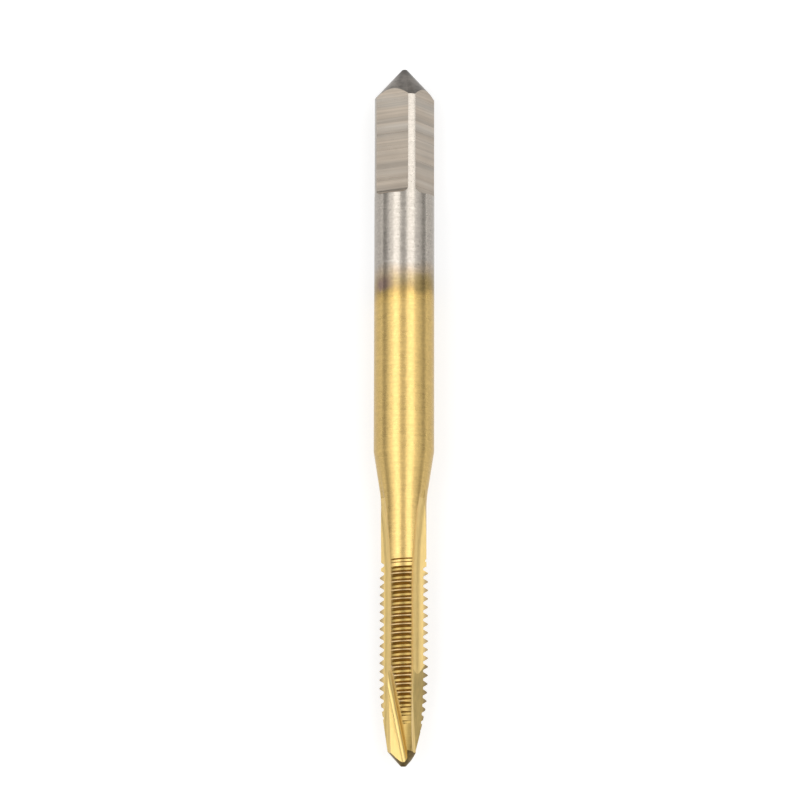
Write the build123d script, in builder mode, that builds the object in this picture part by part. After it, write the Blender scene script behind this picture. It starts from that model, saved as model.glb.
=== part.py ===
from build123d import *
import math
import os

# A machine tap ground from one bar: a driving square, a round shank, a taper down to a neck, and
# a fluted, threaded cutting end whose flutes are ground deeper at the tip into a spiral point.
# The axis lies along Y with the square towards +Y. Lengths along the axis are measured from the
# tip and turned into Y by station(). Angles about the axis are measured from +Z towards +X.

# Shank and driving square
overall_length = 58.4
shank_diameter = 5.0
square_length = 10.7
across_flats = 3.95
flat_runout_radius = 0.35
square_angle = 59.1

# Pointed male centres that carry the bar between centres while it is ground
centre_angle = 84.0
centre_end_radius = 0.2

# Thread, with its 60 degree profile, and the neck behind it
thread_diameter = 4.0
pitch = 0.7
thread_angle = 60.0
thread_length = 16.0
thread_end_chamfer = 0.2
thread_runout = 0.7
neck_diameter = 3.75
neck_length = 6.0
neck_blend_radius = 8.0
taper_length = 4.0
shank_blend_radius = 1.0

# Straight flutes
flute_count = 3
flute_angle = 55.0
flute_radius = 1.3
web_diameter = 1.9
flute_length = 13.4
flute_wheel_radius = 43.0

# Lead chamfer, backed off behind each cutting edge
chamfer_length = 5.1
chamfer_angle = 8.0
chamfer_relief = 0.28

# Spiral point, an angled notch along each cutting face
point_length = 8.5
point_angle = 10.3
point_lean = 30.0
point_open_angle = 119.0
point_root_back = 0.09
point_root_tip = 0.84
point_corner_radius = 0.55

# Derived sizes
shank_radius = shank_diameter / 2
thread_radius = thread_diameter / 2
neck_radius = neck_diameter / 2
web_radius = web_diameter / 2
centre_slope = math.tan(math.radians(centre_angle / 2))
taper_start = thread_length + neck_length
shank_start = taper_start + taper_length
square_start = overall_length - square_length
shank_middle = (shank_start + square_start) / 2

# The thread's groove has a flat of a quarter pitch at its root and an eighth at the crest
flank_slope = math.tan(math.radians(thread_angle / 2))
thread_depth = pitch * (1 - 1 / 4 - 1 / 8) / 2 / flank_slope
thread_root_radius = thread_radius - thread_depth

# A land reaches from the flute behind it to the flute ahead of it
flute_centre_radius = web_radius + flute_radius
half_flute = math.degrees(
    math.acos(
        (thread_radius**2 + flute_centre_radius**2 - flute_radius**2)
        / (2 * thread_radius * flute_centre_radius)
    )
)
land_spacing = 360 / flute_count
cutting_face_angle = flute_angle - land_spacing + half_flute
heel_angle = flute_angle - half_flute
land_middle = (cutting_face_angle + heel_angle) / 2

# Each turn of groove is cut land by land, a little wider and taller than the land it crosses
groove_overrun = 20.0
groove_span = heel_angle - cutting_face_angle + 2 * groove_overrun
groove_overlap = pitch / 16

# Room that the cutters keep beyond the blank
clearance = 1.0


def station(from_tip):
    """Y of a plane at a distance from the tip."""
    return from_tip - shank_middle


def outward(angle):
    """Direction out from the axis at an angle."""
    return Vector(math.sin(math.radians(angle)), 0, math.cos(math.radians(angle)))


def around(radius, angle, from_tip):
    """Point at a radius and an angle about the axis."""
    return outward(angle) * radius + Vector(0, station(from_tip), 0)


def turned(angle, shift=0.0):
    """Place turned about the axis and moved along it."""
    return Location((0, shift, 0), (0, angle, 0))


def groove_over_one_land(root_radius):
    """Thread groove over the width of one land, starting at angle zero and rising with it."""
    wall = thread_radius + groove_overlap - root_radius
    root_half_width = pitch / 8
    mouth_half_width = root_half_width + wall * flank_slope
    helix = Helix(pitch, pitch * groove_span / 360, root_radius, direction=(0, 1, 0))
    across = Plane(origin=helix @ 0, x_dir=(0, 0, 1), z_dir=(1, 0, 0))
    with BuildPart(mode=Mode.PRIVATE) as groove:
        with BuildSketch(across):
            with BuildLine():
                Polyline(
                    (0, -root_half_width),
                    (wall, -mouth_half_width),
                    (wall, mouth_half_width),
                    (0, root_half_width),
                    close=True,
                )
            make_face()
        sweep(path=helix, is_frenet=True)
    return groove.part


# Round flute, at full depth from the tip and then rising out along the wheel's arc
with BuildPart() as flute:
    rise = shank_radius + clearance - web_radius
    rise_angle = math.degrees(math.acos(1 - rise / flute_wheel_radius))
    with BuildLine(Plane.YZ) as wheel_path:
        Line(
            (station(-clearance), flute_centre_radius),
            (station(flute_length), flute_centre_radius),
        )
        CenterArc(
            (station(flute_length), web_radius + flute_wheel_radius),
            flute_wheel_radius - flute_radius,
            -90,
            rise_angle,
        )
    with BuildSketch(Plane(wheel_path.line @ 0, z_dir=(0, 1, 0))):
        Circle(flute_radius)
    sweep(path=wheel_path.line)

# Off-centre cone round one land, wide at the cutting face and narrow at the heel
with BuildPart() as chamfer:
    cone_centre = around(chamfer_relief, land_middle - 90, 0)
    cone_axis = Axis(cone_centre, (0, 1, 0))
    cone_slope = math.tan(math.radians(chamfer_angle))
    outside = thread_radius + clearance / 2
    first_angle = land_middle - land_spacing / 2
    start_plane = Plane(
        cone_centre,
        x_dir=outward(first_angle),
        z_dir=outward(first_angle - 90),
    )
    with BuildSketch(start_plane):
        with BuildLine():
            Polyline(
                (thread_radius - (chamfer_length + clearance) * cone_slope, -clearance),
                (outside, -clearance),
                (outside, chamfer_length + (outside - thread_radius) / cone_slope),
                close=True,
            )
        make_face()
    revolve(axis=cone_axis, revolution_arc=land_spacing)

# Spiral point: an angled notch with a rounded root, running in towards the axis at the tip
with BuildPart() as notch:
    face_up = outward(cutting_face_angle + point_lean)
    into_land = outward(cutting_face_angle + point_lean + 90)
    edge = around(thread_radius, cutting_face_angle, point_length)
    edge_height = edge.dot(face_up)
    root_back = edge - face_up * (edge_height - point_root_back)
    root_tip = (
        root_back
        + Vector(0, -point_length, 0)
        + into_land * point_length * math.tan(math.radians(point_angle))
        + face_up * (point_root_tip - point_root_back)
    )
    travel = (root_tip - root_back).normalized()
    run_up = 3 * clearance
    across_travel = Plane(root_back - travel * run_up, x_dir=into_land * -1, z_dir=travel)
    reach = thread_diameter + clearance
    floor_angle = math.radians(point_open_angle)
    with BuildSketch(across_travel) as notch_section:
        up = 1 if across_travel.y_dir.dot(face_up) > 0 else -1
        with BuildLine():
            Polyline(
                (0, 0),
                (0, up * reach),
                (reach * 2, up * reach),
                (reach * 2, up * 2 * reach * math.cos(floor_angle) / math.sin(floor_angle)),
                close=True,
            )
        make_face()
        root_corner = notch_section.vertices().sort_by_distance((0, 0, 0))[0]
        fillet(root_corner, point_corner_radius)
    extrude(amount=run_up + point_length + clearance)

# Grinding wheel that leaves one flat of the square, with the rounded corner of its rim
with BuildPart() as flat:
    with BuildSketch(Plane.YZ) as rim:
        with BuildLine():
            Polyline(
                (station(square_start), across_flats / 2),
                (station(overall_length + clearance), across_flats / 2),
                (station(overall_length + clearance), shank_radius + clearance),
                (station(square_start), shank_radius + clearance),
                close=True,
            )
        make_face()
        rim_corner = rim.vertices().sort_by_distance((station(square_start), across_flats / 2))[0]
        fillet(rim_corner, flat_runout_radius)
    extrude(amount=shank_radius, both=True)

# Thread grooves: the full groove, and the last turn, which gets shallower and runs out
thread_end = thread_length + thread_end_chamfer
last_groove_start = thread_end + thread_runout
groove_count = math.ceil((last_groove_start + pitch / 2) / pitch * flute_count)
full_groove = groove_over_one_land(thread_root_radius)
runout_grooves = []
for n in range(1, flute_count):
    runout_rise = (neck_radius - thread_root_radius) * (1 - n / flute_count)
    runout_grooves.append(groove_over_one_land(thread_root_radius + runout_rise))


def groove_place(back):
    """Place of a groove, counted back from the last: each is one land back and lower with it."""
    angle = cutting_face_angle - groove_overrun + land_spacing * (1 - back)
    return turned(angle, station(last_groove_start - pitch * back / flute_count))


# The turned blank, cut by the flats, the flutes, the chamfers, the notches and the thread
with BuildPart() as tap:
    with BuildSketch(Plane.XY) as half_section:
        shoulder = (thread_radius - centre_end_radius) / centre_slope
        square_shoulder = overall_length - (shank_radius - centre_end_radius) / centre_slope
        with BuildLine():
            Polyline(
                (0, station(0)),
                (centre_end_radius, station(0)),
                (thread_radius, station(shoulder)),
                (thread_radius, station(thread_length)),
                (neck_radius, station(thread_end)),
                (neck_radius, station(taper_start)),
                (shank_radius, station(shank_start)),
                (shank_radius, station(square_shoulder)),
                (centre_end_radius, station(overall_length)),
                (0, station(overall_length)),
                close=True,
            )
        make_face()
        neck_corner = half_section.vertices().sort_by_distance((neck_radius, station(taper_start)))[0]
        fillet(neck_corner, neck_blend_radius)
        shank_corner = half_section.vertices().sort_by_distance((shank_radius, station(shank_start)))[0]
        fillet(shank_corner, shank_blend_radius)
    revolve(axis=Axis.Y)

    with Locations(*[turned(square_angle + 90 * n) for n in range(4)]):
        add(flat.part, mode=Mode.SUBTRACT)
    with Locations(*[turned(flute_angle + land_spacing * n) for n in range(flute_count)]):
        add(flute.part, mode=Mode.SUBTRACT)
    with Locations(*[turned(land_spacing * n) for n in range(flute_count)]):
        add(chamfer.part, mode=Mode.SUBTRACT)
    with Locations(*[turned(land_spacing * n) for n in range(flute_count)]):
        add(notch.part, mode=Mode.SUBTRACT)

    for back, shallow_groove in enumerate(runout_grooves):
        with Locations(groove_place(back)):
            add(shallow_groove, mode=Mode.SUBTRACT)
    with Locations(*[groove_place(back) for back in range(len(runout_grooves), groove_count)]):
        add(full_groove, mode=Mode.SUBTRACT)

tap.part.label = "tap"

os.makedirs("parts", exist_ok=True)
export_step(tap.part, "parts/tap.step")
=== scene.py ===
import math

import bpy
from mathutils import Matrix, Vector


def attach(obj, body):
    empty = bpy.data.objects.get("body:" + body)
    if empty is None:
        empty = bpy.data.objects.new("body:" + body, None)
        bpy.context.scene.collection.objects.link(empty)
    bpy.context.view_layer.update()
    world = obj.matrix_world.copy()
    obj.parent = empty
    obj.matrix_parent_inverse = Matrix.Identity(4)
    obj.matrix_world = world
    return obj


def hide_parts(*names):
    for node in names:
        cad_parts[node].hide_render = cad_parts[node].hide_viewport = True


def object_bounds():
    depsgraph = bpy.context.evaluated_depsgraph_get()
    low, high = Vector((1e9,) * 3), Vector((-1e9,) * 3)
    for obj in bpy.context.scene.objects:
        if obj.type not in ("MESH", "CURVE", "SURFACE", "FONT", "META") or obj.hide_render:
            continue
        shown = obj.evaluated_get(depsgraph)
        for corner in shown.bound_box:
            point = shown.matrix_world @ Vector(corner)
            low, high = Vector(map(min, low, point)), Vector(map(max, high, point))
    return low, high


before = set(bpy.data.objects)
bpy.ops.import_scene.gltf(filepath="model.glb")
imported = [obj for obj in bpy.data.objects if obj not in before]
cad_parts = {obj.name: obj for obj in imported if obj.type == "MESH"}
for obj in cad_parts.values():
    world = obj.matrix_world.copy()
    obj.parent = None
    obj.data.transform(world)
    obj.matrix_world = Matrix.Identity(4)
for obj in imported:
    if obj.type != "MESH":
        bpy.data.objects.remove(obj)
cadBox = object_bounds()
mm = 0.001
hair = 0.001 * mm  # places closer than this are the same

# the studio: camera, white floor, softboxes, grey cards that only reflections show, and a painted
# shadow on the floor beside the tap

studio = {
    "cameraTilt": 9.7,  # degrees off straight down, towards the cutting end
    "cameraRoll": 0.12,
    "cameraDistance": 360 * mm,
    "aimPoint": (-0.33 * mm, -6.5 * mm, 0.0),
    "lens": 195.75,
    "sensorWidth": 36,
    "floorSize": 3.0,
    "floorColour": (0.50, 0.50, 0.50, 1.0),
    "floorLift": 0.64,  # lifts the lit paper to plain white where it is seen
    # each softbox: where it stands, seen along the tap, its width in degrees and its brightness
    "softboxes": {
        "softboxLeft": (-29.5, 26.0, 1.22),
        "softboxLeftEdge": (-52.5, 18.0, 0.40),
        "softboxRight": (24.4, 29.0, 1.22),
        "softboxRightEdge": (48.0, 16.0, 0.12),
    },
    "boxDistance": 0.7,
    "boxLength": 0.75,
    "boxShift": 0.02,  # towards the square
    "ambient": 0.60,
    # brightness of the room by height, from the horizon up to straight above
    "roomHeights": (
        (0.25, 1.0), (0.34, 0.72), (0.55, 0.88), (0.80, 0.95), (0.95, 0.70), (1.0, 0.70),
    ),
    # and how it falls off towards the two ends of the tap
    "roomEnds": ((0.20, 1.0), (0.34, 0.80), (0.52, 0.36), (0.90, 0.26)),
    # tall grey flags stand round the floor
    "flagHeight": 0.2,
    "flagDistance": 0.6,
    "sideFlag": 0.38,
    "endFlag": 0.20,
    # a grey card lies on the floor along each side of the tap: a painted shadow of the tap on the
    # floor, which only reflections show
    "floorShadowInner": 3.2 * mm,
    "floorShadowOuter": 30 * mm,
    "floorShadowLength": 0.12,
    "floorShadowLift": 0.05 * mm,
    "floorShadowLevel": 0.80,
}


def newMaterial(name):
    material = bpy.data.materials.new(name)
    material.use_nodes = True
    material.node_tree.nodes.clear()
    return material, material.node_tree


def addNode(tree, kind, inputs=None, **settings):
    # each input is either another node's output or a plain value
    node = tree.nodes.new(kind)
    for name, value in settings.items():
        setattr(node, name, value)
    for name, value in (inputs or {}).items():
        if hasattr(value, "is_linked"):
            tree.links.new(value, node.inputs[name])
        else:
            node.inputs[name].default_value = value
    return node


def calc(tree, operation, first, second=0.0):
    node = addNode(tree, "ShaderNodeMath", {0: first, 1: second}, operation=operation)
    return node.outputs[0]


def blend(tree, factor, first, second, mode="MIX"):
    inputs = {0: factor, 6: first, 7: second}
    return addNode(tree, "ShaderNodeMix", inputs, data_type="RGBA", blend_type=mode).outputs[2]


def colourRamp(tree, value, stops):
    ramp = addNode(tree, "ShaderNodeValToRGB", {0: value})
    elements = ramp.color_ramp.elements
    elements[0].position, elements[1].position = stops[0][0], stops[-1][0]
    elements[0].color, elements[1].color = stops[0][1], stops[-1][1]
    for position, colour in stops[1:-1]:
        elements.new(position).color = colour
    return ramp.outputs["Color"]


def grey(level):
    return (level, level, level, 1.0)


def greyRamp(tree, value, stops):
    return colourRamp(tree, value, [(position, grey(level)) for position, level in stops])


def seenRays(tree):
    # 1 for the rays that show the background, straight on or by way of the object
    path = addNode(tree, "ShaderNodeLightPath")
    seen = calc(tree, "MAXIMUM", path.outputs["Is Camera Ray"], path.outputs["Is Glossy Ray"])
    return calc(tree, "MAXIMUM", seen, path.outputs["Is Transmission Ray"])


def addCamera():
    tilt = math.radians(studio["cameraTilt"])
    camera = bpy.data.cameras.new("photoCamera")
    camera.sensor_width = studio["sensorWidth"]
    camera.lens = studio["lens"]
    camera.clip_start = 0.01
    camera.clip_end = 20
    cameraObject = bpy.data.objects.new("photoCamera", camera)
    bpy.context.scene.collection.objects.link(cameraObject)
    backward = Vector((0, -math.sin(tilt), math.cos(tilt)))
    cameraObject.location = Vector(studio["aimPoint"]) + backward * studio["cameraDistance"]
    roll = math.radians(studio["cameraRoll"])
    turn = Matrix.Rotation(tilt, 4, "X") @ Matrix.Rotation(roll, 4, "Z")
    cameraObject.rotation_euler = turn.to_euler()
    bpy.context.scene.camera = cameraObject


def addSoftbox(name, angle, width, brightness):
    turn = math.radians(angle)
    distance = studio["boxDistance"]
    lamp = bpy.data.lights.new(name, "AREA")
    lamp.shape = "RECTANGLE"
    lamp.size = 2 * distance * math.tan(math.radians(width / 2))
    lamp.size_y = studio["boxLength"]
    # radiance of an area lamp is its power over pi times its area
    lamp.energy = brightness * math.pi * lamp.size * lamp.size_y
    lampObject = bpy.data.objects.new(name, lamp)
    lampObject.location = (
        distance * math.sin(turn), studio["boxShift"], distance * math.cos(turn),
    )
    lampObject.rotation_euler = (0, turn, 0)
    bpy.context.scene.collection.objects.link(lampObject)


def addFloor():
    bpy.ops.mesh.primitive_plane_add(size=studio["floorSize"], location=(0, 0, cadBox[0].z))
    floor = bpy.context.object
    floor.name = "floor"
    material, tree = newMaterial("whitePaper")
    paper = addNode(tree, "ShaderNodeBsdfDiffuse", {"Color": studio["floorColour"]})
    lift = calc(tree, "MULTIPLY", seenRays(tree), studio["floorLift"])
    glow = addNode(tree, "ShaderNodeEmission", {"Strength": lift})
    total = addNode(tree, "ShaderNodeAddShader", {0: paper.outputs[0], 1: glow.outputs[0]})
    addNode(tree, "ShaderNodeOutputMaterial", {"Surface": total.outputs[0]})
    floor.data.materials.append(material)


def addWorld():
    # reflections show a graded room, and all else gets an even light
    world = bpy.data.worlds.new("studioRoom")
    bpy.context.scene.world = world
    world.use_nodes = True
    tree = world.node_tree
    tree.nodes.clear()
    place = addNode(tree, "ShaderNodeTexCoord").outputs["Generated"]
    split = addNode(tree, "ShaderNodeSeparateXYZ", {0: place})
    towardsEnd = calc(tree, "ABSOLUTE", split.outputs["Y"])
    byHeight = greyRamp(tree, split.outputs["Z"], studio["roomHeights"])
    byEnd = greyRamp(tree, towardsEnd, studio["roomEnds"])
    level = blend(tree, 1.0, byHeight, byEnd, "MULTIPLY")
    room = addNode(tree, "ShaderNodeBackground", {"Color": level})
    inputs = {"Color": grey(1.0), "Strength": studio["ambient"]}
    fill = addNode(tree, "ShaderNodeBackground", inputs)
    inputs = {0: seenRays(tree), 1: fill.outputs[0], 2: room.outputs[0]}
    mix = addNode(tree, "ShaderNodeMixShader", inputs)
    addNode(tree, "ShaderNodeOutputWorld", {"Surface": mix.outputs[0]})


def addCard(name, location, rotation, scale, level):
    # a grey card that only reflections show
    bpy.ops.mesh.primitive_plane_add(size=1, location=location, rotation=rotation)
    card = bpy.context.object
    card.name = name
    card.scale = scale
    material, tree = newMaterial(name + "Card")
    glow = addNode(tree, "ShaderNodeEmission", {"Color": grey(level)})
    addNode(tree, "ShaderNodeOutputMaterial", {"Surface": glow.outputs[0]})
    card.data.materials.append(material)
    card.visible_camera = False
    card.visible_diffuse = False
    card.visible_shadow = False


def addFlags():
    far, tall = studio["flagDistance"], studio["flagHeight"]
    floorHeight = cadBox[0].z
    for name, side, level in (
        ("flagLeft", (-1, 0), studio["sideFlag"]), ("flagRight", (1, 0), studio["sideFlag"]),
        ("flagTop", (0, 1), studio["endFlag"]), ("flagFront", (0, -1), studio["endFlag"]),
    ):
        place = (side[0] * far, side[1] * far, tall / 2 + floorHeight)
        turn = (math.pi / 2, 0, math.pi / 2 if side[0] else 0)
        addCard(name, place, turn, (2 * far, tall, 1), level)
    inner, outer = studio["floorShadowInner"], studio["floorShadowOuter"]
    size = (outer - inner, studio["floorShadowLength"], 1)
    # the painted shadow of the tap on the floor, one card on each side
    for name, side in (("floorShadowLeft", -1), ("floorShadowRight", 1)):
        place = (side * (inner + outer) / 2, 0, floorHeight + studio["floorShadowLift"])
        addCard(name, place, (0, 0, 0), size, studio["floorShadowLevel"])


addCamera()
addFloor()
addFlags()
addWorld()
for boxName, (boxAngle, boxWidth, boxBrightness) in studio["softboxes"].items():
    addSoftbox(boxName, boxAngle, boxWidth, boxBrightness)
bpy.context.scene.view_settings.view_transform = "Standard"
print("studio ready")

# the tap, modelled finer than its CAD node; lengths in mm, places in mm from the tip

tap = {
    "length": 58.4,
    "middle": 36.85,  # the origin's distance from the tip
    "shankRadius": 2.5,
    "squareLength": 10.95,
    "acrossFlats": 3.95,
    "flatRunout": 0.42,
    "flatRunoutSteps": 8,
    "squareAngle": 59.1,
    "centreAngle": 84.0,
    "centreEndRadius": 0.2,
    "threadRadius": 2.0,
    "threadAngle": 60.0,
    "pitch": 0.7,
    "threadLength": 16.0,
    "threadEnd": 16.2,
    "threadRunout": 0.7,
    "neckRadius": 1.875,
    "taperStart": 22.0,
    "shankStart": 26.0,
    # edges rounded on the blank: how far the rounding reaches, and in how many steps
    "neckEdge": (0.62, 8),
    "shankEdge": (0.08, 4),
    "squareEdge": (0.03, 2),
    "tipEdge": (0.04, 2),
    "landCount": 3,
    # a flute is a wide V with a rounded root: the way it opens, and where its walls would meet
    "fluteAngle": 57.0,
    "fluteOpening": 116.0,
    "fluteRadius": 1.2,
    "fluteCorner": (0.673, 0.670),
    "fluteRootSteps": 24,
    "fluteLength": 14.6,
    "wheelRadius": 43.0,
    "wheelSteps": 28,
    # the lead chamfer, backed off behind each cutting edge
    "chamferLength": 5.1,
    "chamferAngle": 8.0,
    "chamferRelief": 0.28,
    "chamferSpan": 100,
    "chamferSteps": 40,
    "cuttingFace": -31.5,
    "landMiddle": -5.0,
    # the spiral point, an angled notch along each cutting face
    "pointLength": 8.5,
    "pointAngle": 10.8,
    "pointLean": 40.0,
    "pointOpenAngle": 88.5,
    "pointRootBack": -0.25,
    "pointRootTip": 0.49,
    "pointCorner": 0.45,
    "pointCornerSteps": 10,
    "pointRunUp": 3,
    # the thread's groove, which is cut through all the lands in one go
    "grooveStart": -50.0,
    "grooveSpan": 90.0,
    "grooveTurns": 24,
    "grooveSteps": 120,  # in each turn
    "grooveLeastSteps": 24,
    "roundSteps": 180,
    "weldDistance": 0.002,
    "smoothAngle": 28,
    "clearance": 1,  # how far a cutter reaches past the blank
}


def station(fromTip):
    return (fromTip - tap["middle"]) * mm


def deselectAll():
    if bpy.context.object and bpy.context.object.mode == "EDIT":
        bpy.ops.object.mode_set(mode="OBJECT")
    bpy.ops.object.select_all(action="DESELECT")


def editNew(name):
    piece = bpy.context.object
    piece.name = name
    bpy.ops.object.transform_apply(location=True, rotation=True, scale=True)
    bpy.ops.object.mode_set(mode="EDIT")
    return piece


def selectVerts(piece, chosen):
    # leaves edit mode and comes back to it with just these vertices selected
    bpy.ops.mesh.select_mode(type="VERT")
    bpy.ops.mesh.select_all(action="DESELECT")
    bpy.ops.object.mode_set(mode="OBJECT")
    for vert in piece.data.vertices:
        vert.select = chosen(vert.co)
    bpy.ops.object.mode_set(mode="EDIT")
    bpy.ops.mesh.select_mode(type="VERT")


def closeMesh(piece):
    bpy.ops.mesh.select_all(action="SELECT")
    bpy.ops.mesh.remove_doubles(threshold=1e-7)
    bpy.ops.mesh.normals_make_consistent(inside=False)
    bpy.ops.object.mode_set(mode="OBJECT")
    return piece


def applyPlace(piece, place):
    piece.matrix_world = place
    deselectAll()
    piece.select_set(True)
    bpy.context.view_layer.objects.active = piece
    bpy.ops.object.transform_apply(location=True, rotation=True, scale=True)


def outward(angle):
    return Vector((math.sin(math.radians(angle)), 0, math.cos(math.radians(angle))))


def turned(angle):
    # a turn about the axis, from +Z towards +X
    return Matrix.Rotation(math.radians(angle), 4, "Y")


def turnAbout(piece, angle, shift=0.0):
    applyPlace(piece, Matrix.Translation((0, shift, 0)) @ turned(angle))


def copyOf(piece):
    twin = piece.copy()
    twin.data = piece.data.copy()
    bpy.context.scene.collection.objects.link(twin)
    return twin


def cutAway(body, cutter):
    deselectAll()
    body.select_set(True)
    bpy.context.view_layer.objects.active = body
    cut = body.modifiers.new("cut", "BOOLEAN")
    cut.operation = "DIFFERENCE"
    cut.solver = "EXACT"
    cut.object = cutter
    bpy.ops.object.modifier_apply(modifier=cut.name)
    bpy.data.objects.remove(cutter)


def cutAround(body, master, count, place):
    # cuts with copies of one cutter, evenly spaced about the axis
    for n in range(count):
        cutter = copyOf(master)
        place(cutter, 360 / count * n)
        cutAway(body, cutter)
    bpy.data.objects.remove(master)


def bevelRing(piece, radius, fromTip, offset, segments):
    def onRing(co):
        inPlane = abs(co.y - station(fromTip)) < hair
        return inPlane and abs(math.hypot(co.x, co.z) - radius * mm) < hair

    selectVerts(piece, onRing)
    bpy.ops.mesh.select_mode(type="EDGE")
    bpy.ops.mesh.bevel(offset=offset * mm, segments=segments, affect="EDGES")


def turnBlank():
    slope = math.tan(math.radians(tap["centreAngle"] / 2))
    end = tap["centreEndRadius"]
    shoulder = tap["length"] - (tap["shankRadius"] - end) / slope
    profile = (
        (tap["threadRadius"], (tap["threadRadius"] - end) / slope),
        (tap["threadRadius"], tap["threadLength"]),
        (tap["neckRadius"], tap["threadEnd"]),
        (tap["neckRadius"], tap["taperStart"]),
        (tap["shankRadius"], tap["shankStart"]),
        (tap["shankRadius"], shoulder),
        (end, tap["length"]),
    )
    deselectAll()
    bpy.ops.mesh.primitive_circle_add(
        vertices=tap["roundSteps"], radius=end * mm, fill_type="NGON",
        location=(0, station(0), 0), rotation=(math.pi / 2, 0, 0),
    )
    blank = editNew("fineTap")
    bpy.ops.mesh.select_all(action="SELECT")
    radius, place = end, 0.0
    for nextRadius, nextPlace in profile:
        step = (0, (nextPlace - place) * mm, 0)
        bpy.ops.mesh.extrude_region_move(TRANSFORM_OT_translate={"value": step})
        grow = nextRadius / radius
        middle = (0, station(nextPlace), 0)
        bpy.ops.transform.resize(value=(grow, 1, grow), center_override=middle)
        radius, place = nextRadius, nextPlace
    bevelRing(blank, tap["neckRadius"], tap["taperStart"], *tap["neckEdge"])
    bevelRing(blank, tap["shankRadius"], tap["shankStart"], *tap["shankEdge"])
    bevelRing(blank, tap["shankRadius"], shoulder, *tap["squareEdge"])
    bevelRing(blank, end, tap["length"], *tap["tipEdge"])
    bevelRing(blank, end, 0.0, *tap["tipEdge"])
    return closeMesh(blank)


def squareCutter():
    half, top = tap["acrossFlats"] / 2, tap["shankRadius"] + tap["clearance"]
    back, front = tap["length"] - tap["squareLength"], tap["length"] + tap["clearance"]
    deselectAll()
    bpy.ops.mesh.primitive_cube_add(
        size=1, location=(0, station((back + front) / 2), (half + top) / 2 * mm),
        scale=(2 * tap["shankRadius"] * mm, (front - back) * mm, (top - half) * mm),
    )
    cutter = editNew("squareCutter")
    selectVerts(cutter, lambda co: co.y < station(back) + hair and co.z < half * mm + hair)
    bpy.ops.mesh.select_mode(type="EDGE")
    bpy.ops.mesh.bevel(
        offset=tap["flatRunout"] * mm, segments=tap["flatRunoutSteps"], affect="EDGES"
    )
    return closeMesh(cutter)


def placeSquare(cutter, turn):
    turnAbout(cutter, tap["squareAngle"] + turn)


def fluteCutter():
    # drawn with its walls meeting on the axis and opening upwards, and placed by placeFlute
    half = math.radians(tap["fluteOpening"] / 2)
    side = 2 * tap["threadRadius"]
    wide, high = side * math.sin(half), side * math.cos(half)
    start, end = station(-tap["clearance"]), station(tap["fluteLength"])
    deselectAll()
    bpy.ops.mesh.primitive_circle_add(
        vertices=4, radius=mm, fill_type="NGON",
        location=(0, start, 0), rotation=(math.pi / 2, 0, 0),
    )
    cutter = editNew("fluteCutter")
    bpy.ops.mesh.select_all(action="SELECT")
    bpy.ops.transform.resize(value=(wide, 1, high), center_override=(0, start, 0))
    bpy.ops.transform.translate(value=(0, 0, high * mm))
    selectVerts(cutter, lambda co: co.z < hair)
    tangent = tap["fluteRadius"] / math.tan(half)
    bpy.ops.mesh.bevel(
        offset=tangent * mm, segments=tap["fluteRootSteps"], affect="VERTICES"
    )
    bpy.ops.mesh.select_all(action="SELECT")
    run = (0, (tap["fluteLength"] + tap["clearance"]) * mm, 0)
    bpy.ops.mesh.extrude_region_move(TRANSFORM_OT_translate={"value": run})
    bpy.ops.mesh.delete(type="ONLY_FACE")
    selectVerts(cutter, lambda co: co.y > end - hair)
    bpy.ops.mesh.select_mode(type="EDGE")
    # the wheel leaves along its own arc
    root = tap["fluteRadius"] * (1 / math.sin(half) - 1)
    rise = tap["shankRadius"] + tap["clearance"]
    bpy.ops.mesh.spin(
        steps=tap["wheelSteps"], angle=-math.acos(1 - rise / tap["wheelRadius"]),
        axis=(1, 0, 0), center=(0, end, (root + tap["wheelRadius"]) * mm),
    )
    bpy.ops.mesh.edge_face_add()
    return closeMesh(cutter)


def placeFlute(cutter, turn):
    x, z = tap["fluteCorner"]
    corner = Matrix.Translation((x * mm, 0, z * mm))
    applyPlace(cutter, turned(turn) @ corner @ turned(tap["fluteAngle"]))


def leadCutter():
    # a conical ring over one land, placed off centre by placeLead
    slope = math.tan(math.radians(tap["chamferAngle"]))
    length, clearance = tap["chamferLength"], tap["clearance"]
    outside = tap["threadRadius"] + clearance / 2
    reach = length + (outside - tap["threadRadius"]) / slope
    inside = tap["threadRadius"] - (length + clearance) * slope
    middle = (0, station((reach - clearance) / 2), (inside + outside) / 2 * mm)
    deselectAll()
    bpy.ops.mesh.primitive_plane_add(size=1, location=middle, rotation=(0, math.pi / 2, 0))
    cutter = editNew("leadCutter")
    bpy.ops.mesh.select_all(action="SELECT")
    bpy.ops.transform.resize(
        value=(1, (reach + clearance) * mm, (outside - inside) * mm), center_override=middle
    )
    selectVerts(cutter, lambda co: co.y > station(reach) - hair and co.z < outside * mm - hair)
    bpy.ops.transform.translate(value=(0, 0, (outside - inside) * mm - hair))
    bpy.ops.mesh.select_all(action="SELECT")
    span = math.radians(tap["chamferSpan"])
    bpy.ops.transform.rotate(value=span / 2, orient_axis="Y", center_override=(0, 0, 0))
    bpy.ops.mesh.spin(
        steps=tap["chamferSteps"], angle=-span, axis=(0, 1, 0), center=(0, 0, 0)
    )
    return closeMesh(cutter)


def placeLead(cutter, turn):
    # wide at the cutting face and narrow at the heel
    offCentre = outward(tap["landMiddle"] - 90) * tap["chamferRelief"] * mm
    place = Matrix.Translation(offCentre) @ turned(tap["landMiddle"])
    applyPlace(cutter, turned(turn) @ place)


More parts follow.
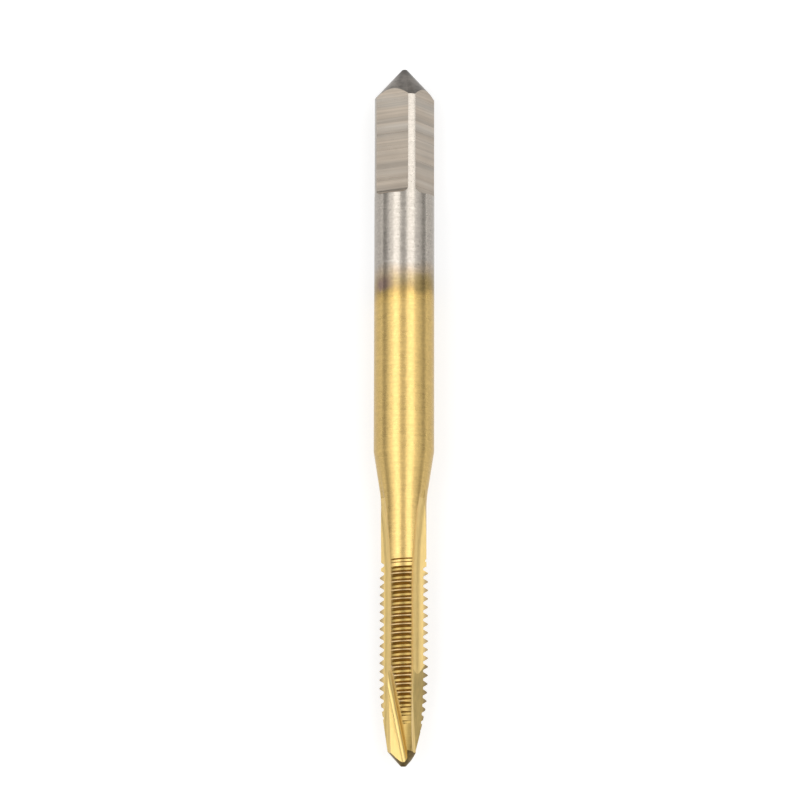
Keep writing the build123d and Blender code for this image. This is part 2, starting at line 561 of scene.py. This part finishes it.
def pointCutter():
    # a V-section with a rounded root, drawn in a plane across its travel:
    # its X points out of the land and its Y up the cutting face
    reach = 2 * tap["threadRadius"] + tap["clearance"]
    openAngle = math.radians(tap["pointOpenAngle"])
    middle = (reach * mm, reach / 2 * mm, 0)
    deselectAll()
    bpy.ops.mesh.primitive_plane_add(size=1, location=middle)
    cutter = editNew("pointCutter")
    bpy.ops.mesh.select_all(action="SELECT")
    bpy.ops.transform.resize(value=(2 * reach * mm, reach * mm, 1), center_override=middle)
    selectVerts(cutter, lambda co: co.x > reach * mm and co.y < hair)
    drop = 2 * reach * math.cos(openAngle) / math.sin(openAngle)
    bpy.ops.transform.translate(value=(0, drop * mm, 0))
    selectVerts(cutter, lambda co: co.length < hair)
    # the tangent length of a corner radius, so that the root comes out as a true arc
    tangent = tap["pointCorner"] / math.tan(openAngle / 2)
    bpy.ops.mesh.bevel(
        offset=tangent * mm, segments=tap["pointCornerSteps"], affect="VERTICES"
    )
    bpy.ops.mesh.select_all(action="SELECT")
    run = (0, 0, (tap["pointLength"] + tap["pointRunUp"] + tap["clearance"]) * mm)
    bpy.ops.mesh.extrude_region_move(TRANSFORM_OT_translate={"value": run})
    return closeMesh(cutter)


def placePoint(cutter, turn):
    length, lean = tap["pointLength"], tap["cuttingFace"] + tap["pointLean"]
    faceUp, intoLand = outward(lean), outward(lean + 90)
    edge = outward(tap["cuttingFace"]) * tap["threadRadius"]
    edge += Vector((0, length - tap["middle"], 0))
    rootBack = edge - faceUp * (edge.dot(faceUp) - tap["pointRootBack"])
    rootTip = (
        rootBack
        + Vector((0, -length, 0))
        + intoLand * length * math.tan(math.radians(tap["pointAngle"]))
        + faceUp * (tap["pointRootTip"] - tap["pointRootBack"])
    )
    travel = (rootTip - rootBack).normalized()
    across = (intoLand * -1).normalized()
    across = (across - travel * across.dot(travel)).normalized()
    upward = travel.cross(across)
    if upward.dot(faceUp) < 0:
        upward = upward * -1
    start = (rootBack - travel * tap["pointRunUp"]) * mm
    place = Matrix((
        (across.x, upward.x, travel.x, start.x),
        (across.y, upward.y, travel.y, start.y),
        (across.z, upward.z, travel.z, start.z),
        (0, 0, 0, 1),
    ))
    applyPlace(cutter, turned(turn) @ place)
    if place.determinant() < 0:
        # a mirrored cutter is turned right side out again
        bpy.ops.object.mode_set(mode="EDIT")
        closeMesh(cutter)


def grooveCutter(rootRadius, turns):
    # a trapezoid on +Z, wound into a right-hand groove that rises along the axis
    pitch = tap["pitch"]
    wall = tap["threadRadius"] + pitch / 16 - rootRadius
    rootHalf = pitch / 8
    mouthHalf = rootHalf + wall * math.tan(math.radians(tap["threadAngle"] / 2))
    height = (rootRadius + wall / 2) * mm
    middle = (0, 0, height)
    deselectAll()
    bpy.ops.mesh.primitive_plane_add(size=1, location=middle, rotation=(0, math.pi / 2, 0))
    cutter = editNew("grooveCutter")
    bpy.ops.mesh.select_all(action="SELECT")
    bpy.ops.transform.resize(value=(1, 2 * rootHalf * mm, wall * mm), center_override=middle)
    selectVerts(cutter, lambda co: co.z > height)
    bpy.ops.transform.resize(value=(1, mouthHalf / rootHalf, 1), center_override=middle)
    bpy.ops.mesh.select_all(action="SELECT")
    bpy.ops.mesh.delete(type="ONLY_FACE")
    bpy.ops.object.mode_set(mode="OBJECT")
    wind = cutter.modifiers.new("wind", "SCREW")
    wind.axis = "Y"
    wind.angle = math.radians(360 * turns)
    wind.screw_offset = pitch * turns * mm
    wind.steps = max(tap["grooveLeastSteps"], int(tap["grooveSteps"] * turns))
    wind.render_steps = wind.steps
    wind.use_merge_vertices = False
    bpy.ops.object.modifier_apply(modifier=wind.name)
    bpy.ops.object.mode_set(mode="EDIT")
    bpy.ops.mesh.select_all(action="SELECT")
    bpy.ops.mesh.fill_holes(sides=4)
    return closeMesh(cutter)


def cutThread(body):
    # a long full groove, and one land of shallower groove twice where the thread runs out
    pitch, start, span = tap["pitch"], tap["grooveStart"], tap["grooveSpan"]
    lands, turns = tap["landCount"], tap["grooveTurns"]
    land = 360 / lands
    # the groove has a flat of a quarter pitch at its root and an eighth at the crest
    depth = pitch * (1 - 1 / 4 - 1 / 8) / 2 / math.tan(math.radians(tap["threadAngle"] / 2))
    rootRadius = tap["threadRadius"] - depth
    lastStart = tap["threadEnd"] + tap["threadRunout"]
    fullEnd = lastStart - pitch * 2 / lands + pitch * span / 360
    cutter = grooveCutter(rootRadius, turns)
    turnAbout(cutter, start - land + span, station(fullEnd - pitch * turns))
    cutAway(body, cutter)
    rise = (tap["neckRadius"] - rootRadius) / lands
    for back in (1, 0):
        cutter = grooveCutter(rootRadius + rise * (2 - back), span / 360)
        shift = station(lastStart - pitch * back / lands)
        turnAbout(cutter, start + land * (1 - back), shift)
        cutAway(body, cutter)


def makeTap():
    body = turnBlank()
    print("blank turned")
    cutAround(body, squareCutter(), 4, placeSquare)
    cutAround(body, fluteCutter(), tap["landCount"], placeFlute)
    print("square and flutes cut")
    cutAround(body, leadCutter(), tap["landCount"], placeLead)
    cutAround(body, pointCutter(), tap["landCount"], placePoint)
    print("lead chamfer and spiral point cut")
    cutThread(body)
    print("thread cut")
    bpy.ops.object.mode_set(mode="EDIT")
    bpy.ops.mesh.select_all(action="SELECT")
    bpy.ops.mesh.remove_doubles(threshold=tap["weldDistance"] * mm)
    bpy.ops.mesh.normals_make_consistent(inside=False)
    bpy.ops.object.mode_set(mode="OBJECT")
    return body


fineTap = makeTap()
fineTap.name = "spiralPointTap"
fineTap.data.name = "spiralPointTap"
deselectAll()
fineTap.select_set(True)
bpy.context.view_layer.objects.active = fineTap
bpy.ops.object.shade_smooth_by_angle(angle=math.radians(tap["smoothAngle"]))

# finishes: ground steel, and the gold nitride coating over it

finish = {
    "steel": (0.50, 0.455, 0.40, 1.0),
    "flatSteel": (0.585, 0.528, 0.458, 1.0),
    "flatBrown": (0.598, 0.512, 0.42, 1.0),
    "gold": (0.72, 0.505, 0.185, 1.0),
    "fluteGold": (0.90, 0.663, 0.268, 1.0),
    "pointGold": (0.75, 0.553, 0.214, 1.0),
    "coatEdge": 2.95 * mm,  # where the coating fades out on the shank, and over what length
    "coatFade": 1.85 * mm,
    "coatSlant": 0.07,
    "coatRagged": 1.1 * mm,
    # heat tints between the gold and the steel, by their place in the fade
    "tints": (
        (0.15, (0.70, 0.48, 0.165, 1.0)),
        (0.27, (0.60, 0.41, 0.145, 1.0)),
        (0.375, (0.47, 0.33, 0.13, 1.0)),
        (0.48, (0.42, 0.305, 0.145, 1.0)),
        (0.58, (0.435, 0.335, 0.18, 1.0)),
        (0.71, (0.47, 0.375, 0.255, 1.0)),
        (0.84, (0.49, 0.41, 0.32, 1.0)),
    ),
    "tintPurple": (0.31, 0.215, 0.185, 1.0),
    "tintOlive": (0.36, 0.26, 0.10, 1.0),
    # painted shade on the thread: darker copies of the gold, with a painted highlight on the crest
    "threadRootShaded": (0.51, 0.355, 0.115, 1.0),
    "threadFlankShaded": (0.54, 0.37, 0.125, 1.0),
    "threadCrestLit": (0.60, 0.43, 0.21, 1.0),
    "threadBand": (1.60 * mm, 2.0 * mm),  # radius of the root and of the crest
    # painted shade for the sides of the teeth
    "toothShadeGold": (0.46, 0.34, 0.19, 1.0),
    "toothShadeBand": (1.58 * mm, 1.86 * mm),  # radius from which a tooth's sides are painted darker and browner, as painted shade
    "rearCentre": (0.215, 0.195, 0.175, 1.0),
    "rearNub": (20.6 * mm, 21.5 * mm),  # where the end darkens, along the axis
    "frontCentre": (0.20, 0.145, 0.06, 1.0),
    "frontNub": (-36.3 * mm, -37.3 * mm),
    "fluteRough": (0.34, 0.42),
    "pointRough": (0.27, 0.35),
    "even": (0.3, 0.7),  # the middle range of a noise
    "wide": (0.25, 0.75),
}

# how fine each kind of mark is along X, Y and Z: a low figure draws it out that way
grain = {
    "shankMarks": (520, 7500, 520),
    "shankMottle": (3600, 3600, 3600),
    "shankBroad": (300, 1300, 300),
    "shankPits": (5200, 5200, 5200),
    "coatCloud": (700, 500, 700),
    "flatCoarse": (9, 1500, 9),
    "flatMarks": (110, 6500, 110),
    "flatStain": (230, 330, 230),
    "flatBurn": (60, 900, 60),
    "turnedRings": (700, 7000, 700),
    "threadMarks": (260, 9000, 260),
    "stain": (1500, 1500, 1500),
    "fluteMarks": (6500, 170, 6500),
    "fluteMottle": (900, 900, 900),
}


def streaks(tree, place, kind, detail=3.0, roughness=0.6):
    mapped = addNode(tree, "ShaderNodeMapping", {"Vector": place, "Scale": grain[kind]})
    noise = addNode(
        tree, "ShaderNodeTexNoise",
        {"Vector": mapped.outputs[0], "Scale": 1.0, "Detail": detail, "Roughness": roughness},
    )
    return noise.outputs["Fac"]


def stretch(tree, value, low, high, toLow=0.0, toHigh=1.0):
    inputs = {"Value": value, "From Min": low, "From Max": high, "To Min": toLow, "To Max": toHigh}
    return addNode(tree, "ShaderNodeMapRange", inputs).outputs[0]


def multiplied(tree, *ranges):
    # stretches each value to its own range and multiplies the results
    levels = [stretch(tree, *oneRange) for oneRange in ranges]
    product = levels[0]
    for level in levels[1:]:
        product = calc(tree, "MULTIPLY", product, level)
    return product


def startMetal(name):
    material, tree = newMaterial(name)
    return material, tree, addNode(tree, "ShaderNodeTexCoord").outputs["Object"]


def endMetal(tree, colour, roughness, height, depth):
    inputs = {"Height": height, "Strength": 1.0, "Distance": depth * mm}
    bump = addNode(tree, "ShaderNodeBump", inputs)
    metal = addNode(
        tree, "ShaderNodeBsdfPrincipled",
        {"Metallic": 1.0, "Base Color": colour, "Roughness": roughness, "Normal": bump.outputs[0]},
    )
    addNode(tree, "ShaderNodeOutputMaterial", {"Surface": metal.outputs[0]})


def shaded(tree, colour, shade):
    # a colour made lighter or darker by a plain value
    level = addNode(tree, "ShaderNodeCombineColor", {0: shade, 1: shade, 2: shade}).outputs[0]
    return blend(tree, 1.0, colour, level, "MULTIPLY")


def radiusOf(tree, place):
    # distance from the tap's axis
    inputs = {0: place, 1: (1.0, 0.0, 1.0)}
    across = addNode(tree, "ShaderNodeVectorMath", inputs, operation="MULTIPLY").outputs[0]
    return addNode(tree, "ShaderNodeVectorMath", {0: across}, operation="LENGTH").outputs["Value"]


def shankMetal():
    # short grinding marks run round the shank; the coating ends in heat tints
    material, tree, place = startMetal("groundShank")
    marks = streaks(tree, place, "shankMarks")
    mottle = streaks(tree, place, "shankMottle", 2.0)
    broad = streaks(tree, place, "shankBroad", 2.0)
    pits = streaks(tree, place, "shankPits", 1.0, 0.4)
    cloud = streaks(tree, place, "coatCloud")
    split = addNode(tree, "ShaderNodeSeparateXYZ", {0: place})
    across = split.outputs["X"]
    slant = calc(tree, "MULTIPLY", across, finish["coatSlant"])
    ragged = calc(tree, "MULTIPLY", calc(tree, "SUBTRACT", cloud, 0.5), finish["coatRagged"])
    height = calc(tree, "ADD", calc(tree, "SUBTRACT", split.outputs["Y"], slant), ragged)
    edge, fade = finish["coatEdge"], finish["coatFade"]
    along = stretch(tree, height, edge - fade, edge + fade)  # 0 on the gold, 1 on the steel
    tints = ((0.0, finish["gold"]), *finish["tints"], (1.0, finish["steel"]))
    tinted = colourRamp(tree, along, tints)
    # a purple brown shows in the tint on the tap's left, and an olive brown on its right
    purple = multiplied(
        tree, (along, 0.36, 0.48), (along, 0.76, 0.58),
        (across, -0.8 * mm, -1.6 * mm, 0.0, 0.9), (across, -2.4 * mm, -2.05 * mm, 0.15, 1.0),
    )
    tinted = blend(tree, purple, tinted, finish["tintPurple"])
    olive = multiplied(
        tree, (along, 0.22, 0.36), (along, 0.72, 0.5),
        (across, 0.7 * mm, 1.2 * mm, 0.0, 0.75), (across, 2.35 * mm, 1.9 * mm, 0.3, 1.0),
    )
    tinted = blend(tree, olive, tinted, finish["tintOlive"])
    pitLevel = stretch(tree, along, 0.0, 1.0, 0.90, 0.74)
    shade = multiplied(
        tree, (marks, *finish["wide"], 0.92, 1.07), (mottle, *finish["even"], 0.92, 1.09),
        (broad, *finish["even"], 0.97, 1.04), (pits, 0.66, 0.78, 1.0, pitLevel),
    )
    relief = calc(tree, "ADD", calc(tree, "MULTIPLY", marks, 0.35), mottle)
    # the coating is a little duller than the bare steel
    coated = stretch(tree, along, 0.0, 1.0, 0.05, 0.0)
    rough = calc(tree, "ADD", stretch(tree, broad, *finish["even"], 0.20, 0.26), coated)
    endMetal(tree, shaded(tree, tinted, shade), rough, relief, 0.0042)
    return material


def flatMetal():
    # the flats are ground straight across
    material, tree, place = startMetal("groundFlats")
    coarse = streaks(tree, place, "flatCoarse", 4.0, 0.62)
    marks = streaks(tree, place, "flatMarks")
    stain = streaks(tree, place, "flatStain", 2.0)
    shade = multiplied(
        tree, (coarse, 0.30, 0.62, 0.70, 1.06), (marks, *finish["wide"], 0.86, 1.08),
        (stain, 0.35, 0.65, 0.93, 1.03),
    )
    burnt = stretch(tree, streaks(tree, place, "flatBurn"), 0.36, 0.56)
    colour = blend(tree, burnt, finish["flatSteel"], finish["flatBrown"])
    relief = calc(tree, "ADD", coarse, calc(tree, "MULTIPLY", marks, 0.5))
    rough = stretch(tree, marks, *finish["even"], 0.26, 0.38)
    endMetal(tree, shaded(tree, colour, shade), rough, relief, 0.008)
    return material


def centreMetal(name, colour, nub):
    # turned and left dull, darker than the ground faces and darkest at its blunt end
    material, tree, place = startMetal(name)
    rings = streaks(tree, place, "turnedRings")
    stain = streaks(tree, place, "stain")
    split = addNode(tree, "ShaderNodeSeparateXYZ", {0: place})
    # and painted paler on the tap's left, a painted highlight on the side that the brighter
    # softboxes light
    shade = multiplied(
        tree, (rings, *finish["wide"], 0.85, 1.05), (stain, 0.35, 0.68, 0.75, 1.35),
        (split.outputs["Y"], *nub, 1.0, 0.35),
        (split.outputs["X"], -1.2 * mm, -0.4 * mm, 1.35, 1.0),
    )
    rough = stretch(tree, stain, *finish["even"], 0.32, 0.46)
    endMetal(tree, shaded(tree, colour, shade), rough, rings, 0.005)
    return material


def threadMetal():
    # the thread's ground faces are duller, and their gold is painted darker and browner as painted
    # shade, darkest on the flanks, and paler on the crests as a painted highlight
    material, tree, place = startMetal("coatedThread")
    marks = streaks(tree, place, "threadMarks")
    mottle = streaks(tree, place, "stain")
    colour = colourRamp(tree, stretch(tree, radiusOf(tree, place), *finish["threadBand"]), (
        (0.06, finish["threadRootShaded"]), (0.20, finish["threadFlankShaded"]),
        (0.90, finish["threadFlankShaded"]), (0.97, finish["threadCrestLit"]),
    ))
    shade = multiplied(
        tree, (marks, *finish["wide"], 0.92, 1.06), (mottle, *finish["even"], 0.90, 1.08)
    )
    rough = stretch(tree, mottle, *finish["even"], 0.30, 0.40)
    endMetal(tree, shaded(tree, colour, shade), rough, marks, 0.0015)
    return material


def fluteMetal(name, gold, rough):
    # flutes and notches, with the marks of the wheel drawn out along the tap
    material, tree, place = startMetal(name)
    marks = streaks(tree, place, "fluteMarks")
    mottle = streaks(tree, place, "fluteMottle")
    # the teeth are painted darker and browner than the flute that they stand in, as painted shade
    # on their sides
    split = addNode(tree, "ShaderNodeSeparateXYZ", {0: place})
    end = tap["threadLength"]
    toothShade = multiplied(
        tree, (split.outputs["Y"], station(end), station(end - 0.2)),
        (radiusOf(tree, place), *finish["toothShadeBand"], 0.0, 0.9),
    )
    colour = blend(tree, toothShade, gold, finish["toothShadeGold"])
    shade = multiplied(
        tree, (marks, *finish["wide"], 0.90, 1.08), (mottle, *finish["even"], 0.95, 1.05)
    )
    level = stretch(tree, mottle, *finish["even"], *rough)
    endMetal(tree, shaded(tree, colour, shade), level, marks, 0.002)
    return material


# where one surface ends and the next begins, in mm from the tip or out from the axis
border = {
    "rearCentre": 55.8,
    "frontCentre": 2.1,
    "behindThread": 1,
    "landRadius": 1.58,
    "leadRadius": 1.3,
    "pastNotch": 0.3,
    "squareSlack": 0.01,
    "roundSlack": 0.02,
    "neckSlack": 0.004,
}

# how squarely a face looks out from the axis, or along it, on each surface
facing = {
    "centre": 0.5,
    "roundedCorner": 0.995,
    "neck": 0.98,
    "lead": 0.9,
    "crest": 0.8,
    "flank": 0.3,
    "notch": 0.01,
}


def zoneOf(face):
    # names the surface that a face belongs to, from its place and the way it looks
    centre, normal = face.center, face.normal
    fromTip = centre.y / mm + tap["middle"]
    radius = math.hypot(centre.x, centre.z) / mm
    radial = (normal.x * centre.x + normal.z * centre.z) / max(radius, 1e-6) / mm
    if fromTip > tap["length"] - tap["squareLength"] - border["squareSlack"]:
        if normal.y > facing["centre"] and fromTip > border["rearCentre"]:
            return "rearCentre"
        isRound = radius > tap["shankRadius"] - border["roundSlack"]
        return "shank" if isRound and radial > facing["roundedCorner"] else "flats"
    if fromTip < border["frontCentre"] and normal.y < -facing["centre"]:
        return "frontCentre"
    if fromTip > tap["threadEnd"] + border["behindThread"]:
        return "flute" if radius < tap["neckRadius"] - border["neckSlack"] else "shank"
    onLand = radial > facing["crest"] or abs(normal.y) > facing["flank"]
    if radius > border["landRadius"] and onLand:
        behind = fromTip > tap["threadEnd"] and radial > facing["neck"]
        return "shank" if behind else "thread"
    onLead = fromTip < tap["chamferLength"] and radius > border["leadRadius"]
    if onLead and radial > facing["lead"]:
        return "thread"
    # only the notches slope along the tap here
    nearTip = fromTip < tap["pointLength"] + border["pastNotch"]
    return "point" if nearTip and abs(normal.y) > facing["notch"] else "flute"


def dressTap(piece):
    # gives every zone its metal, and the borders between the zones a sharp edge
    metals = {
        "shank": shankMetal(),
        "flats": flatMetal(),
        "rearCentre": centreMetal("turnedCentre", finish["rearCentre"], finish["rearNub"]),
        "frontCentre": centreMetal("coatedCentre", finish["frontCentre"], finish["frontNub"]),
        "thread": threadMetal(),
        "flute": fluteMetal("coatedFlutes", finish["fluteGold"], finish["fluteRough"]),
        "point": fluteMetal("coatedPoint", finish["pointGold"], finish["pointRough"]),
    }
    piece.data.materials.clear()
    for material in metals.values():
        piece.data.materials.append(material)
    faceZones = [zoneOf(face) for face in piece.data.polygons]
    bpy.ops.object.mode_set(mode="EDIT")
    bpy.ops.mesh.select_mode(type="FACE")
    for index, zone in enumerate(metals):
        bpy.ops.mesh.select_all(action="DESELECT")
        bpy.ops.object.mode_set(mode="OBJECT")
        for face, faceZone in zip(piece.data.polygons, faceZones):
            face.select = faceZone == zone
        piece.active_material_index = index
        bpy.ops.object.mode_set(mode="EDIT")
        bpy.ops.object.material_slot_assign()
        bpy.ops.mesh.region_to_loop()
        bpy.ops.mesh.mark_sharp()
        bpy.ops.mesh.select_mode(type="FACE")
    bpy.ops.object.mode_set(mode="OBJECT")


dressTap(fineTap)
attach(fineTap, "root")
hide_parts("tap")
print("tap finished")
